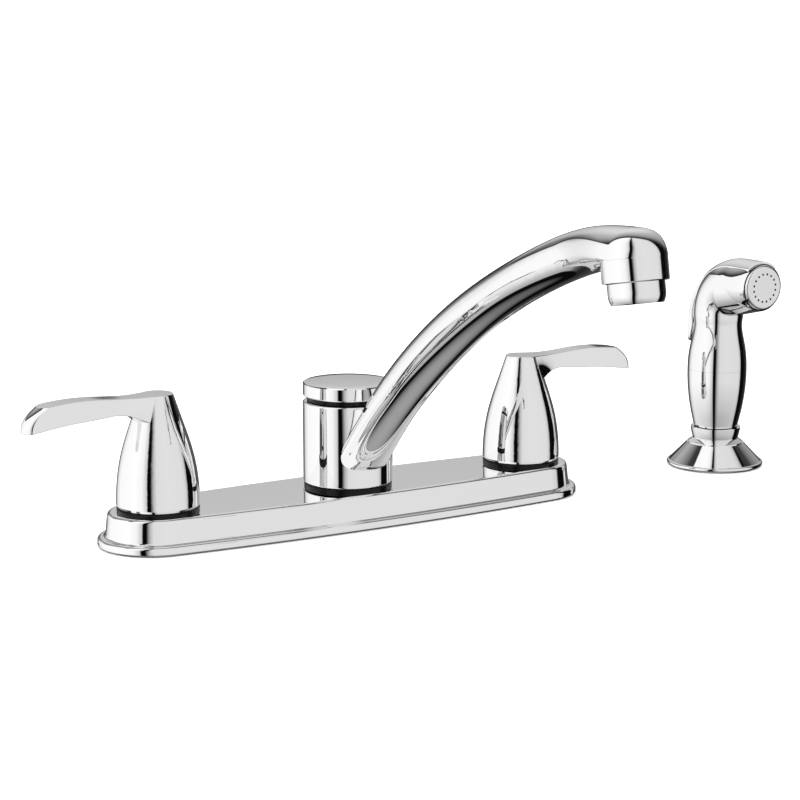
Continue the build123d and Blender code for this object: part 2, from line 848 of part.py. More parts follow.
def holder_gasket_ring():
    return tube(holder_gasket_r, holder_shank_r + seat_gap, 0, holder_gasket)


def flanged_nut(bore_r, outer_r, height, reach):
    """Plastic nut with wings, under the deck."""
    high = -deck_thickness
    nut = rod(outer_r, high - height, high)
    for wing in range(wing_count):
        blade = box((0, -wing_width / 2, high - height), (reach, wing_width / 2, high - height / 4))
        nut += Rot(0, 0, 45 + 360 * wing / wing_count) * blade
    return nut - rod(bore_r, high - height, high)


# ---- spray wand, drawn on the spray's axis with its face to -Y ----
def wand_outline(inset):
    """Half outline of the wand's upright part."""
    return Spline(
        [
            (wand_base_r - inset, wand_low),
            (wand_collar_r - inset, wand_collar_z),
            (wand_mid_r - inset, wand_mid_z),
            (belly_r - inset, belly_z),
            (neck_low_r - inset, neck_low_z),
            (wand_neck_r - inset, wand_neck_z),
            (wand_tube_r - inset, elbow_z),
        ],
        tangents=[(0.05, 1.0), (0.0, 1.0)],
    )


def wand_upright(inset):
    side = wand_outline(inset)
    close = Polyline(side @ 1, (0, elbow_z), (0, wand_low), side @ 0)
    return revolve(Plane.XZ * make_face(side + close), Axis.Z)


def bend(profile, back, r):
    """Sweeps a level profile round a bend from upright to level; its foot stands back of the axis."""
    foot = barrel_z - r
    return revolve(Pos(0, back, foot) * profile, Axis((0, back - r, foot), (1, 0, 0)), 90)


def wand_barrel(inset):
    """Level part of the head, from the elbow to the face rim."""
    length = face_reach - elbow_r
    side = Spline(
        [(wand_tube_r - inset, 0), (barrel_bulge_r - inset, 0.55 * length), (face_rim_r - inset, length)],
        tangents=[(0.0, 1.0), (-0.35, 1.0)],
    )
    close = Polyline(side @ 1, (0, length), (0, 0), side @ 0)
    turned_side = revolve(Plane.XZ * make_face(side + close), Axis.Z)
    return Pos(0, -elbow_r, barrel_z) * Rot(90, 0, 0) * turned_side


def wand_form(inset):
    return wand_upright(inset) + bend(Circle(wand_tube_r - inset), 0, elbow_r) + wand_barrel(inset)


def throat():
    """Deepens the barrel's underside towards the elbow."""
    rim = Plane(origin=(0, -face_reach, barrel_z), x_dir=(1, 0, 0), z_dir=(0, 1, 0)) * Circle(face_rim_r)
    middle_z = barrel_z + (throat_top - throat_drop) / 2
    root = Plane(origin=(0, -throat_out, middle_z), x_dir=(1, 0, 0), z_dir=(0, 1, 0)) * Ellipse(
        throat_half_width, (throat_top + throat_drop) / 2
    )
    return loft([rim, root], ruled=True)


def back_band(inner_r, outer_r, half_width):
    """Band of a ring on the wand's back, seen from above."""
    ring = Circle(outer_r) - Circle(inner_r)
    return ring & (Pos(0, outer_r / 2) * Rectangle(2 * half_width, outer_r))


def trigger_run(profile, front, tail_end):
    """A level profile carried along the barrel, round the elbow and down the wand's back."""
    foot = barrel_z - trigger_bend_r
    start = trigger_bend_r - tail_back
    level = Pos(0, -start, barrel_z) * Rot(90, 0, 0) * extrude(profile, front - start)
    tail = Pos(0, tail_back, foot - tail_end) * extrude(profile, tail_end)
    return level + bend(profile, tail_back, trigger_bend_r) + tail


def recess():
    """Channel that the trigger lies in."""
    profile = back_band(trigger_inner_r - recess_depth, 2 * belly_r, trigger_half_width + side_gap)
    return trigger_run(profile, face_reach - side_gap, tail_length)


def spray_body():
    upper = wand_form(0) + throat() - rod(2 * belly_r, 0, seam_z)
    upper -= recess()
    hollow = wand_form(wand_skin)
    upper -= hollow
    boss_front = face_plate + chamber_plate + seat_gap - face_reach
    boss = box(
        (-pin_length / 2, boss_front, pin_z - lug_length),
        (pin_length / 2, pin_y + lug_length, pin_z + lug_length),
    )
    upper += boss & wand_form(wand_skin - fuse_lap)
    upper += tube(belly_r - wand_skin + fuse_lap, waterway_r + seat_gap, seam_z + web, seam_z + 2 * web)
    slot = box(
        (-lug_half - face_gap, boss_front, pin_z - lug_drop / 2 - face_gap),
        (lug_half + face_gap, pin_y + lug_length / 2 + face_gap, 2 * pin_z),
    )
    upper -= slot
    upper -= along_x(pin_r, -pin_length / 2, pin_length / 2, 0).moved(Location((0, pin_y, pin_z)))
    pad_hole = pad_half + face_gap
    upper -= box((-pad_hole, -pad_hole, waterway_top), (pad_hole, pad_hole, 2 * pin_z))
    mouth = Pos(0, -face_reach, barrel_z) * Rot(90, 0, 0) * rod(face_r + seat_gap, -face_plate, 1)
    return upper - mouth


def spray_grip():
    lower = wand_form(0) & rod(2 * belly_r, 0, seam_z - seam_gap)
    lower -= wand_form(wand_skin)
    lower += tube(wand_base_r - fuse_lap, waterway_r + seat_gap, wand_low, wand_low + web)
    lap_r = belly_r - wand_skin - face_gap
    lower += tube(lap_r + wand_skin / 2, lap_r - lap_wall, seam_z - seam_lap, seam_z - seam_gap)
    return lower + tube(lap_r, lap_r - lap_wall, seam_z - seam_lap, seam_z + web - face_gap)


def spray_face():
    disc = rod(face_r, -face_plate, face_proud)
    disc = fillet(disc.edges().group_by(Axis.Z)[-1], face_edge_r)
    disc -= rod(face_r - face_wall, -face_plate, face_proud - jet_plate)
    for jet in range(jet_count):
        angle = 2 * math.pi * (jet + 0.5) / jet_count
        x, y = jet_ring_r * math.cos(angle), jet_ring_r * math.sin(angle)
        disc -= Pos(x, y, 0) * rod(jet_r, 0, face_proud)
    return Pos(0, -face_reach, barrel_z) * Rot(90, 0, 0) * disc


def trigger():
    outer_r = trigger_inner_r + trigger_thickness
    profile = back_band(trigger_inner_r, outer_r, trigger_half_width)
    profile = fillet(profile.vertices().sort_by(Axis.Y)[-2:], trigger_edge_r)
    body = trigger_run(profile, face_reach - 2 * side_gap, tail_length)
    skirt = back_band(trigger_inner_r - skirt_depth, trigger_inner_r + trigger_edge_r, trigger_half_width)
    foot = barrel_z - trigger_bend_r
    skirts = bend(skirt, tail_back, trigger_bend_r)
    skirts += Pos(0, tail_back, foot - tail_length) * extrude(skirt, tail_length)
    skirts -= wand_form(-tail_gap)
    body += skirts
    body += box(
        (-lug_half, pin_y - lug_length / 2, pin_z - lug_drop / 2),
        (lug_half, pin_y + lug_length / 2, barrel_z + trigger_inner_r + trigger_thickness / 4),
    )
    pad = box((-pad_half, -pad_half, pad_z), (pad_half, pad_half, barrel_z + outer_r))
    body += pad & bend(Circle(outer_r - trigger_thickness / 2), tail_back, trigger_bend_r)
    end = RectangleRounded(2 * trigger_half_width, 2 * tail_length, tail_corner_r)
    ends = extrude(Pos(0, 0, foot) * Rot(90, 0, 0) * end, 2 * outer_r, both=True)
    body -= box((-outer_r, 0, foot - 2 * tail_length), (outer_r, 2 * outer_r, foot)) - ends
    return body - along_x(pin_r + running_gap, -lug_half, lug_half, 0).moved(Location((0, pin_y, pin_z)))


def trigger_pin():
    return along_x(pin_r, -pin_length / 2, pin_length / 2, 0).moved(Location((0, pin_y, pin_z)))


def spray_waterway():
    pipe = rod(nozzle_r, nozzle_low, nozzle_top) + rod(waterway_r, nozzle_top, waterway_step_z)
    pipe += rod(waterway_neck_r, waterway_step_z, waterway_top)
    branch_end = face_plate - face_reach
    pipe += along_y(branch_r, 0, branch_end, branch_z)
    pipe += along_y(face_r - face_wall - seat_gap, branch_end, branch_end - chamber_plate, barrel_z)
    pipe -= rod(nozzle_r - nozzle_wall, nozzle_low, valve_spring_low)
    pipe -= rod(waterway_bore_r, valve_spring_low, valve_seat_z)
    pipe -= rod(valve_seat_r, valve_seat_z, seat_top)
    pipe -= rod(waterway_neck_bore_r, seat_top, waterway_top - gland)
    pipe -= rod(valve_stem_r + running_gap, seat_top, branch_z + branch_r)
    pipe -= along_y(branch_bore_r, 0, branch_end - chamber_plate, branch_z)
    groove_low = coupling_high + face_gap
    return pipe - tube(nozzle_r, nozzle_r - clip_groove, groove_low, groove_low + clip_thickness)


def valve_stem():
    disc_high = valve_seat_z - face_gap - valve_washer
    body = rod(valve_stem_r, disc_high - valve_disc, pad_z - face_gap)
    return body + rod(valve_disc_r, disc_high - valve_disc, disc_high)


def valve_washer_ring():
    high = valve_seat_z - face_gap
    return tube(valve_disc_r, valve_stem_r, high - valve_washer, high)


def valve_spring():
    high = valve_seat_z - face_gap - valve_washer - valve_disc
    return tube(valve_spring_r, valve_spring_r - 2 * spring_wire_r, valve_spring_low, high - seat_gap)


def hose_coupling():
    body = rod(coupling_r, coupling_low, coupling_high)
    body += rod(hose_barb_r, coupling_low - hose_barb_length, coupling_low)
    pitch = hose_barb_length / (barb_count + 1)
    for barb in range(barb_count):
        low = coupling_low - hose_barb_length + barb * pitch
        barb_top_r = hose_barb_r + barb_rise
        ring = Cone(hose_barb_r, barb_top_r, pitch * barb_fill, align=(Align.CENTER, Align.CENTER, Align.MIN))
        body += Pos(0, 0, low) * ring
    body -= rod(nozzle_r + running_gap, nozzle_low - hose_washer, coupling_high)
    return body - rod(barb_bore_r, coupling_low - hose_barb_length, nozzle_low)


def coupling_washer():
    return tube(nozzle_r, barb_bore_r, nozzle_low - hose_washer, nozzle_low - seat_gap)


def swivel_clip():
    low = coupling_high + face_gap
    clip = tube(clip_r, nozzle_r - clip_groove, low, low + clip_thickness)
    return clip - box((0, -clip_slot / 2, low), (2 * clip_r, clip_slot / 2, low + clip_thickness))


def at(x, shapes):
    """Sets one piece or a group of pieces out along X."""
    group = shapes if isinstance(shapes, list) else [shapes]
    return [Pos(x, 0, 0) * shape for shape in group]


def facing_left(shapes):
    """Mirror image for the hot side."""
    return [mirror(shape, Plane.YZ) for shape in shapes]


def water_tube():
    start = shoulder_r - tube_insert
    return along_x(tube_r, start, half_spacing - start, tube_height) - along_x(
        tube_r - tube_wall, start, half_spacing - start, tube_height
    )


def right_side():
    """Pieces of the cold side, in place; the hot side is their mirror image."""
    port_in = Rot(0, 0, 180)
    return {
        "valve_body": at(half_spacing, port_in * valve_body()),
        "cartridge": at(half_spacing, port_in * cartridge()),
        "cartridge_seals": at(half_spacing, cartridge_seals()),
        "stem": at(half_spacing, stem()),
        "bonnet_nut": at(half_spacing, bonnet_nut()),
        "base_ring": at(half_spacing, base_ring()),
        "handle_adapter": at(half_spacing, adapter()),
        "handle": at(half_spacing, handle()),
        "set_screw": at(half_spacing, set_screw()),
        "water_tube": [water_tube()],
        "mounting_nut": at(
            half_spacing, flanged_nut(shank_r + seat_gap, wing_nut_r, wing_nut_height, wing_reach)
        ),
    }


def centre():
    """Pieces on the spout's axis."""
    return {
        "deck_plate": [deck_plate()],
        "deck_gasket": [deck_gasket()],
        "centre_body": [centre_body()],
        "spout_seals": spout_seals(),
        "diverter_seat": [diverter_seat()],
        "diverter_plunger": [diverter_plunger()],
        "diverter_spring": [diverter_spring()],
        "diverter_guide": [diverter_guide_ring()],
        "lower_bearing": [lower_bearing()],
        "upper_bearing": [upper_bearing()],
        "retaining_nut": [retaining_nut()],
        "spout_cap": [spout_cap()],
        "spout": [spout()],
        "aerator_housing": [aerator_housing()],
        "aerator_insert": [aerator_insert()],
        "aerator_screen": [aerator_screen()],
        "aerator_washer": [aerator_washer()],
    }


def side_spray():
    """Pieces on the spray's axis."""
    nut = flanged_nut(holder_shank_r + seat_gap, holder_nut_r, holder_nut_height, wing_reach)
    return {
        "spray_holder": at(spray_x, spray_holder()),
        "spray_holder_gasket": at(spray_x, holder_gasket_ring()),
        "spray_holder_nut": at(spray_x, nut),
        "spray_body": at(spray_x, spray_body()),
        "spray_grip": at(spray_x, spray_grip()),
        "spray_face": at(spray_x, spray_face()),
        "spray_trigger": at(spray_x, trigger()),
        "trigger_pin": at(spray_x, trigger_pin()),
        "spray_waterway": at(spray_x, spray_waterway()),
        "spray_valve_stem": at(spray_x, valve_stem()),
        "spray_valve_washer": at(spray_x, valve_washer_ring()),
        "spray_valve_spring": at(spray_x, valve_spring()),
        "hose_coupling": at(spray_x, hose_coupling()),
        "coupling_washer": at(spray_x, coupling_washer()),
        "swivel_clip": at(spray_x, swivel_clip()),
    }


def all_pieces():
    pieces = centre() | side_spray()
    for name, shapes in right_side().items():
        pieces["right_" + name] = shapes
        pieces["left_" + name] = facing_left(shapes)
    return pieces


os.makedirs("parts", exist_ok=True)
for node, solids in all_pieces().items():
    export_step(solids[0] if len(solids) == 1 else Compound(children=solids), f"parts/{node}.step")
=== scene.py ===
import json
import math

import bmesh
import bpy
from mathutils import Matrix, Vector
from mathutils.bvhtree import BVHTree

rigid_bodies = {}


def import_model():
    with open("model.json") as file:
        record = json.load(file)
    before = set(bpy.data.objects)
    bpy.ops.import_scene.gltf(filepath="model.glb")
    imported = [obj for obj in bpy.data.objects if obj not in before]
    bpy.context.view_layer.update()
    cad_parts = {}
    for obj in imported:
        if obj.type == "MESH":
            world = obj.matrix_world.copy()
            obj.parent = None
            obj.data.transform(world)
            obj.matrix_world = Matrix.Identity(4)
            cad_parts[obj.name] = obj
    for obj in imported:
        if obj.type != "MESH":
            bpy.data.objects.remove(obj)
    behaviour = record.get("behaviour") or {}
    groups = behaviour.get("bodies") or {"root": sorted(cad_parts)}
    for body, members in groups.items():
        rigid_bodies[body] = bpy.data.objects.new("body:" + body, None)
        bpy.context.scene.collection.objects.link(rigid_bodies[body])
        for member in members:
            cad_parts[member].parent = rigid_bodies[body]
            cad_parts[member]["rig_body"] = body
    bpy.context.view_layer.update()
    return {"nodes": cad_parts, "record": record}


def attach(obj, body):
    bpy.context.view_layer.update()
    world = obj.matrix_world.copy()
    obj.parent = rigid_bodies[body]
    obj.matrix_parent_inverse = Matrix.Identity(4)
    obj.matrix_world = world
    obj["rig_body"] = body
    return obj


# Two handle kitchen faucet with a side spray. Metres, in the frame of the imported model: origin on top of the sink
# deck on the spout's axis, -Y to the user, +Z up. Sizes named in millimetres are multiplied by MM where they are used.

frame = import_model()
nodes = frame["nodes"]
MM = 0.001


# ---- node trees ----
class Signal:
    """A value in a node tree. Arithmetic on it adds Math nodes."""

    def __init__(self, tree, socket):
        self.tree = tree
        self.socket = socket

    def combine(self, operation, first, second):
        node = self.tree.nodes.new("ShaderNodeMath")
        node.operation = operation
        plug(self.tree, first, node.inputs[0])
        plug(self.tree, second, node.inputs[1])
        return Signal(self.tree, node.outputs[0])

    def __add__(self, other):
        return self.combine("ADD", self, other)

    def __sub__(self, other):
        return self.combine("SUBTRACT", self, other)

    def __rsub__(self, other):
        return self.combine("SUBTRACT", other, self)

    def __mul__(self, other):
        return self.combine("MULTIPLY", self, other)

    def __truediv__(self, other):
        return self.combine("DIVIDE", self, other)

    def at_most(self, other):
        return self.combine("MINIMUM", self, other)

    def at_least(self, other):
        return self.combine("MAXIMUM", self, other)

    __radd__ = __add__
    __rmul__ = __mul__


def plug(tree, value, slot):
    """Links a signal to a socket, or sets the socket to a number or a colour."""
    if isinstance(value, Signal):
        tree.links.new(value.socket, slot)
    else:
        slot.default_value = value


class Recipe:
    """The node tree of a material or of the world, filled from nothing."""

    def __init__(self, owner):
        owner.use_nodes = True
        self.tree = owner.node_tree
        self.tree.nodes.clear()

    def add(self, kind, settings=(), sockets=(), out=0):
        """One node: its settings first, then its sockets by name or number; gives the output asked for."""
        node = self.tree.nodes.new("ShaderNode" + kind)
        for name, value in dict(settings).items():
            setattr(node, name, value)
        for name, value in dict(sockets).items():
            plug(self.tree, value, node.inputs[name])
        return Signal(self.tree, node.outputs[out]) if len(node.outputs) else node

    def step(self, value, low, high):
        """0 below low, 1 above high, smooth between."""
        return self.add(
            "MapRange", {"interpolation_type": "SMOOTHSTEP"}, {"Value": value, "From Min": low, "From Max": high}
        )

    def ramp(self, value, stops, low, span):
        """Grey level read off a list of places and levels; the places run from low over the span."""
        node = self.tree.nodes.new("ShaderNodeValToRGB")
        elements = node.color_ramp.elements
        while len(elements) < len(stops):
            elements.new(0.5)
        for element, (place, level) in zip(elements, stops):
            element.position = (place - low) / span
            element.color = (level, level, level, 1.0)
        plug(self.tree, (value - low) / span, node.inputs["Fac"])
        return Signal(self.tree, node.outputs[0])

    def mix(self, amount, low, high, blend="MIX"):
        """Blend of two colours."""
        return self.add("Mix", {"data_type": "RGBA", "blend_type": blend}, {0: amount, 6: low, 7: high}, out=2)

    def noise(self, scale, detail=2.0, stretch=None):
        """Noise on Object coordinates, 0 to 1; scale is in grains per metre."""
        place = self.add("TexCoord", out="Object")
        if stretch:
            place = self.add("Mapping", (), {"Vector": place, "Scale": stretch})
        return self.add("TexNoise", (), {"Vector": place, "Scale": scale, "Detail": detail})

    def bump(self, height, strength, depth):
        """Normal of a relief; the depth is in millimetres."""
        return self.add("Bump", (), {"Strength": strength, "Distance": depth * MM, "Height": height})

    def surface(self, **sockets):
        """Principled surface; spaces in socket names are written as underscores."""
        named = {name.replace("_", " "): value for name, value in sockets.items()}
        shader = self.add("BsdfPrincipled", (), named)
        self.add("OutputMaterial", (), {"Surface": shader})


# ---- camera and studio ----
VIEW_FORWARD = Vector((0.5092, 0.8398, -0.1881)).normalized()
VIEW_PLACE = Vector((-527.9, -919.5, 260.6)) * MM
VIEW_LENS, VIEW_SENSOR = 100.325, 36.0
VIEW_CLIP = (0.05, 20.0)

# What polished metal sees, going round the studio in degrees, 0 at the front and positive to the right: a white
# screen on the left, a thin dark flag near the front, a pale grey wall on the front right, then dark cloth with a
# faint slit, and shade behind.
ROUND = [
    (-180, 0.07), (-168, 0.04), (-160, 0.07), (-148, 0.28), (-138, 0.80), (-120, 1.02), (-60, 1.08), (-38, 0.98),
    (-25, 0.62), (-23, 0.002), (-13.5, 0.002), (-12, 0.10), (-6, 0.50), (3, 0.77), (30, 0.80), (80, 0.78),
    (90, 0.68), (95, 0.42), (96.5, 0.003), (122, 0.003), (123.5, 0.03), (125.5, 0.04), (127, 0.01), (137, 0.01),
    (141, 0.09), (170, 0.10), (180, 0.07),
]
# The ceiling behind, from its dark front edge to its light back.
CEILING = [(-0.06, 0.03), (0.04, 0.05), (0.10, 0.16), (0.26, 0.40), (0.37, 0.50), (0.47, 0.72), (0.60, 0.80)]
CEILING_LOW = -0.2              # start of the ceiling's ramp, which has a span of 1
CEILING_SLANT = 0.75            # how far the front edge leans back as it comes down
CEILING_FRONT = (-0.07, -0.05)  # the front edge itself
CEILING_FOOT = (0.09, 0.12)     # the back edge, by height
CEILING_LIFT = 0.27             # how much higher that edge runs towards the left
# On the left the ceiling darkens again down to its back edge, from the height where it is darkest and by a slope; in
# full from STRIP_OUT to the left, and ever less towards the middle, where it is lifted clear.
STRIP_FOOT, STRIP_SLOPE = 0.1, 1.5
STRIP_OUT, STRIP_CLEAR = 0.45, 0.6
# Towards the ground: how far the screens fade, then the sink deck by the sine of the angle below the level, and
# where it takes over from the screens.
FADE = [(-0.74, 0.38), (-0.50, 0.75), (-0.25, 1.0)]
GROUND = [(0.74, 0.004), (0.83, 0.003), (0.86, 0.10), (0.95, 0.31), (1.0, 0.37)]
GROUND_EDGE = (0.74, 0.76)

SOFT_LIGHT = 1.6                # what everything but a reflection sees
FLOOR_SIZE = 3.0
FLOOR_DROP = 0.2                # millimetres under the sink deck's top, clear of the solids on it
WHITE = (1, 1, 1, 1)


def camera():
    data = bpy.data.cameras.new("view")
    data.lens = VIEW_LENS
    data.sensor_width = VIEW_SENSOR
    data.clip_start, data.clip_end = VIEW_CLIP
    eye = bpy.data.objects.new("view", data)
    eye.location = VIEW_PLACE
    eye.rotation_mode = "QUATERNION"
    eye.rotation_quaternion = VIEW_FORWARD.to_track_quat("-Z", "Y")
    bpy.context.scene.collection.objects.link(eye)
    bpy.context.scene.camera = eye


def surroundings():
    """The world: an even light, and in reflections the screens, the ceiling and the sink deck."""
    world = bpy.data.worlds.new("studio")
    bpy.context.scene.world = world
    air = Recipe(world)
    direction = air.add("TexCoord", out="Generated")
    x, y, up = [air.add("SeparateXYZ", (), {"Vector": direction}, out=axis) for axis in "XYZ"]
    front = Vector((-VIEW_FORWARD.x, -VIEW_FORWARD.y)).normalized()
    across = x * -front.y + y * front.x
    toward = x * front.x + y * front.y
    down = up * -1.0

    turned = across.combine("ARCTAN2", across, toward) * (180 / math.pi)
    sides = air.ramp(turned, ROUND, -180, 360)
    seen = air.mix(1.0, sides, air.ramp(up, FADE, -1.0, 1.0), "MULTIPLY")
    seen = air.mix(air.step(down, *GROUND_EDGE), seen, air.ramp(down, GROUND, 0.0, 1.0))

    behind = (toward + (1.0 - up) * CEILING_SLANT) * -1.0
    leftward = across.at_most(0.0)
    above = up + leftward * CEILING_LIFT
    inward = (leftward / STRIP_OUT + 1.0).at_least(0.0)
    strip = (above - STRIP_FOOT) * STRIP_SLOPE + inward * STRIP_CLEAR
    ceiling = air.ramp(behind.at_most(strip), CEILING, CEILING_LOW, 1.0)
    covered = air.step(behind, *CEILING_FRONT) * air.step(above, *CEILING_FOOT)
    seen = air.mix(covered, seen, ceiling)

    reflected = air.add("LightPath", out="Is Glossy Ray")
    colour = air.mix(reflected, (SOFT_LIGHT, SOFT_LIGHT, SOFT_LIGHT, 1), seen)
    shine = air.add("Background", (), {"Color": colour, "Strength": 1.0})
    air.add("OutputWorld", (), {"Surface": shine})


def lay_floor():
    form = bmesh.new()
    bmesh.ops.create_grid(form, x_segments=1, y_segments=1, size=FLOOR_SIZE)
    bmesh.ops.translate(form, verts=form.verts, vec=(0, 0, -FLOOR_DROP * MM))
    floor = linked_object(form, "floor", smooth=False)
    pale = bpy.data.materials.new("pale floor")
    Recipe(pale).surface(Base_Color=WHITE, Roughness=1.0, Specular_IOR_Level=0.0)
    floor.data.materials.append(pale)
    floor.visible_glossy = False


def linked_object(form, name, smooth=True):
    """An object in the scene from a finished bmesh, which it frees."""
    mesh = bpy.data.meshes.new(name)
    form.to_mesh(mesh)
    form.free()
    for face in mesh.polygons:
        face.use_smooth = smooth
    piece = bpy.data.objects.new(name, mesh)
    bpy.context.scene.collection.objects.link(piece)
    return piece


# ---- finishes ----
# How much rougher: plate where it is hazy, plastic on its grain, metal on its lines and under tarnish.
HAZE_ROUGH, GRAIN_ROUGH, LINE_ROUGH, TARNISH_ROUGH = 0.015, 0.1, 0.15, 0.1
HAZE_EDGE, TARNISH_EDGE = (0.5, 0.8), (0.45, 0.8)
PLASTIC_DARKER = 0.92           # the darkest patches of plastic, as a share of its colour


def chrome_plate(name, colour, polish, ripple):
    """Bright plate: a faint haze in places and a hardly visible slow ripple left by polishing."""
    finish = bpy.data.materials.new(name)
    look = Recipe(finish)
    haze = look.noise(scale=45.0, detail=3.0)
    wave = look.noise(scale=35.0, detail=0.0)
    dull = polish + HAZE_ROUGH * look.step(haze, *HAZE_EDGE)
    relief = look.bump(wave, strength=ripple, depth=0.1)
    look.surface(Base_Color=colour, Metallic=1.0, Roughness=dull, Normal=relief)
    return finish


def moulded_plastic(name, colour, rough, sheen=0.5):
    """Moulded plastic or rubber: a fine grain and slightly uneven colour."""
    finish = bpy.data.materials.new(name)
    look = Recipe(finish)
    grain = look.noise(scale=1800.0, detail=3.0)
    darker = tuple(level * PLASTIC_DARKER for level in colour[:3]) + (1,)
    shade = look.mix(look.noise(scale=60.0), darker, colour)
    dull = rough + GRAIN_ROUGH * grain
    relief = look.bump(grain, strength=0.25, depth=0.04)
    look.surface(Base_Color=shade, Roughness=dull, Normal=relief, Specular_IOR_Level=sheen)
    return finish


def machined_metal(name, colour, tarnish, rough, stretch):
    """Turned or drawn metal: fine lines one way and cloudy tarnish."""
    finish = bpy.data.materials.new(name)
    look = Recipe(finish)
    lines = look.noise(scale=900.0, detail=2.0, stretch=stretch)
    cloud = look.step(look.noise(scale=90.0, detail=4.0), *TARNISH_EDGE)
    shade = look.mix(cloud, colour, tarnish)
    dull = rough + LINE_ROUGH * lines + TARNISH_ROUGH * cloud
    relief = look.bump(lines, strength=0.3, depth=0.03)
    look.surface(Base_Color=shade, Metallic=1.0, Roughness=dull, Normal=relief)
    return finish


def finishes():
    """The materials by the record's slot."""
    return {
        "chrome": chrome_plate("chrome", (0.93, 0.93, 0.93, 1), polish=0.02, ripple=0.03),
        "spray_chrome": chrome_plate("spray chrome", (0.91, 0.91, 0.91, 1), polish=0.03, ripple=0.06),
        "face_chrome": chrome_plate("face chrome", (0.87, 0.87, 0.87, 1), polish=0.12, ripple=0.1),
        "cast_brass": machined_metal("cast brass", (0.72, 0.55, 0.30, 1), (0.55, 0.38, 0.18, 1), 0.22, (1, 1, 6)),
        "copper_tube": machined_metal("copper tube", (0.80, 0.42, 0.27, 1), (0.5, 0.24, 0.15, 1), 0.2, (0.1, 4, 4)),
        "steel": machined_metal("steel", (0.62, 0.62, 0.63, 1), (0.45, 0.45, 0.46, 1), 0.2, (1, 1, 8)),
        "black_plastic": moulded_plastic("black plastic", (0.003, 0.003, 0.003, 1), rough=0.16, sheen=0.2),
        "rubber": moulded_plastic("rubber", (0.025, 0.025, 0.025, 1), rough=0.75, sheen=0.3),
        "white_plastic": moulded_plastic("white plastic", (0.82, 0.82, 0.80, 1), rough=0.3),
        "grey_plastic": moulded_plastic("grey plastic", (0.33, 0.34, 0.36, 1), rough=0.4),
    }


# ---- the spout's skin, sizes in millimetres ----
# The tube: distance out from the hub, height, slope, half width and half depth.
TUBE = [
    (11.0, 27.6, 47.5, 13.6, 7.7), (20.5, 38.0, 47.5, 13.2, 8.8), (55.1, 73.3, 42.4, 11.6, 10.8),
    (83.5, 95.7, 35.3, 11.0, 11.0), (120.2, 118.9, 29.0, 10.35, 10.35), (163.9, 139.8, 22.3, 9.9, 9.9),
    (200.8, 152.0, 15.5, 9.3, 9.3), (212.5, 154.0, 8.0, 10.2, 8.7), (223.0, 154.7, -2.0, 11.2, 8.1),
]
TUBE_RINGS, TUBE_ROUND = 180, 96
HALF_ROUND = TUBE_ROUND // 2
TURNS = [2 * math.pi * column / TUBE_ROUND for column in range(TUBE_ROUND)]
TUBE_FROM, TUBE_TO = 0.05, 0.845  # shares of the tube's length that its even rings cover
SKIN_RISE = 0.05                  # over the solid
# The solid is followed where it is this near and faces the same way. What is found is then evened out over the
# neighbours, at these steps and shares.
SKIN_NEAR, SKIN_FACING = 0.5, 0.9
SETTLE_PASSES = 36
NEIGHBOURS = ((-1, 0.25), (0, 0.5), (1, 0.25))
TINY = 1e-9

# The head: its axis leans, and a dome sits on a straight side.
HEAD_OUT, HEAD_LOW, HEAD_LEAN = 227.0, 141.6, math.radians(10.2)
HEAD_R, HEAD_SIDE, HEAD_DOME = 13.4, 10.0, 11.6
HEAD_FORWARD = Vector((0, -math.cos(HEAD_LEAN), math.sin(HEAD_LEAN)))
HEAD_AXIS = Vector((0, math.sin(HEAD_LEAN), math.cos(HEAD_LEAN)))
HEAD_MIDDLE = Vector((0, -HEAD_OUT, HEAD_LOW)) + HEAD_AXIS * HEAD_SIDE
HEAD_WALL_R = 12.2                # middle of the head's wall, where the skin below the brow ends
SKIN_R, SKIN_DOME = HEAD_R + SKIN_RISE, HEAD_DOME + SKIN_RISE
DOME_RINGS = 40
SKIRT = [(0.5, 0.0), (0.8, 0.15)]  # below the dome: how far down, and how far in

# The brow runs from the tube's last ring to the dome and widens to the head.
BROW_RINGS = 44
BROW_TO = math.radians(12.0)      # where it ends on the dome, tipped forward from the top
BROW_DEEP = 4.8                   # from the dome's foot down to the tube's underside
BROW_SWELL = 0.15                 # lifts it clear of the solid below it
SHOULDER = 0.07                   # how much fuller than an ellipse the shoulders are
SHOULDER_FADE = 1.5               # and how soon that fades over the dome


def curve_through(places, values, asked):
    """Natural cubic spline through values at the places, read off at the places asked for."""
    count = len(places)
    gap = [b - a for a, b in zip(places, places[1:])]
    lean, pull = [0.0] * count, [0.0] * count
    for i in range(1, count - 1):
        jump = 6 * ((values[i + 1] - values[i]) / gap[i] - (values[i] - values[i - 1]) / gap[i - 1])
        scale = 2 * (gap[i - 1] + gap[i]) - gap[i - 1] * lean[i - 1]
        lean[i] = gap[i] / scale
        pull[i] = (jump - gap[i - 1] * pull[i - 1]) / scale
    bend = [0.0] * count
    for i in range(count - 2, 0, -1):
        bend[i] = pull[i] - lean[i] * bend[i + 1]
    found = []
    for place in asked:
        i = max(k for k in range(count - 1) if k == 0 or places[k] <= place)
        u, v = place - places[i], places[i + 1] - place
        found.append(
            (bend[i] * v**3 + bend[i + 1] * u**3) / (6 * gap[i])
            + (values[i] / gap[i] - bend[i] * gap[i] / 6) * v
            + (values[i + 1] / gap[i] - bend[i + 1] * gap[i] / 6) * u
        )
    return found


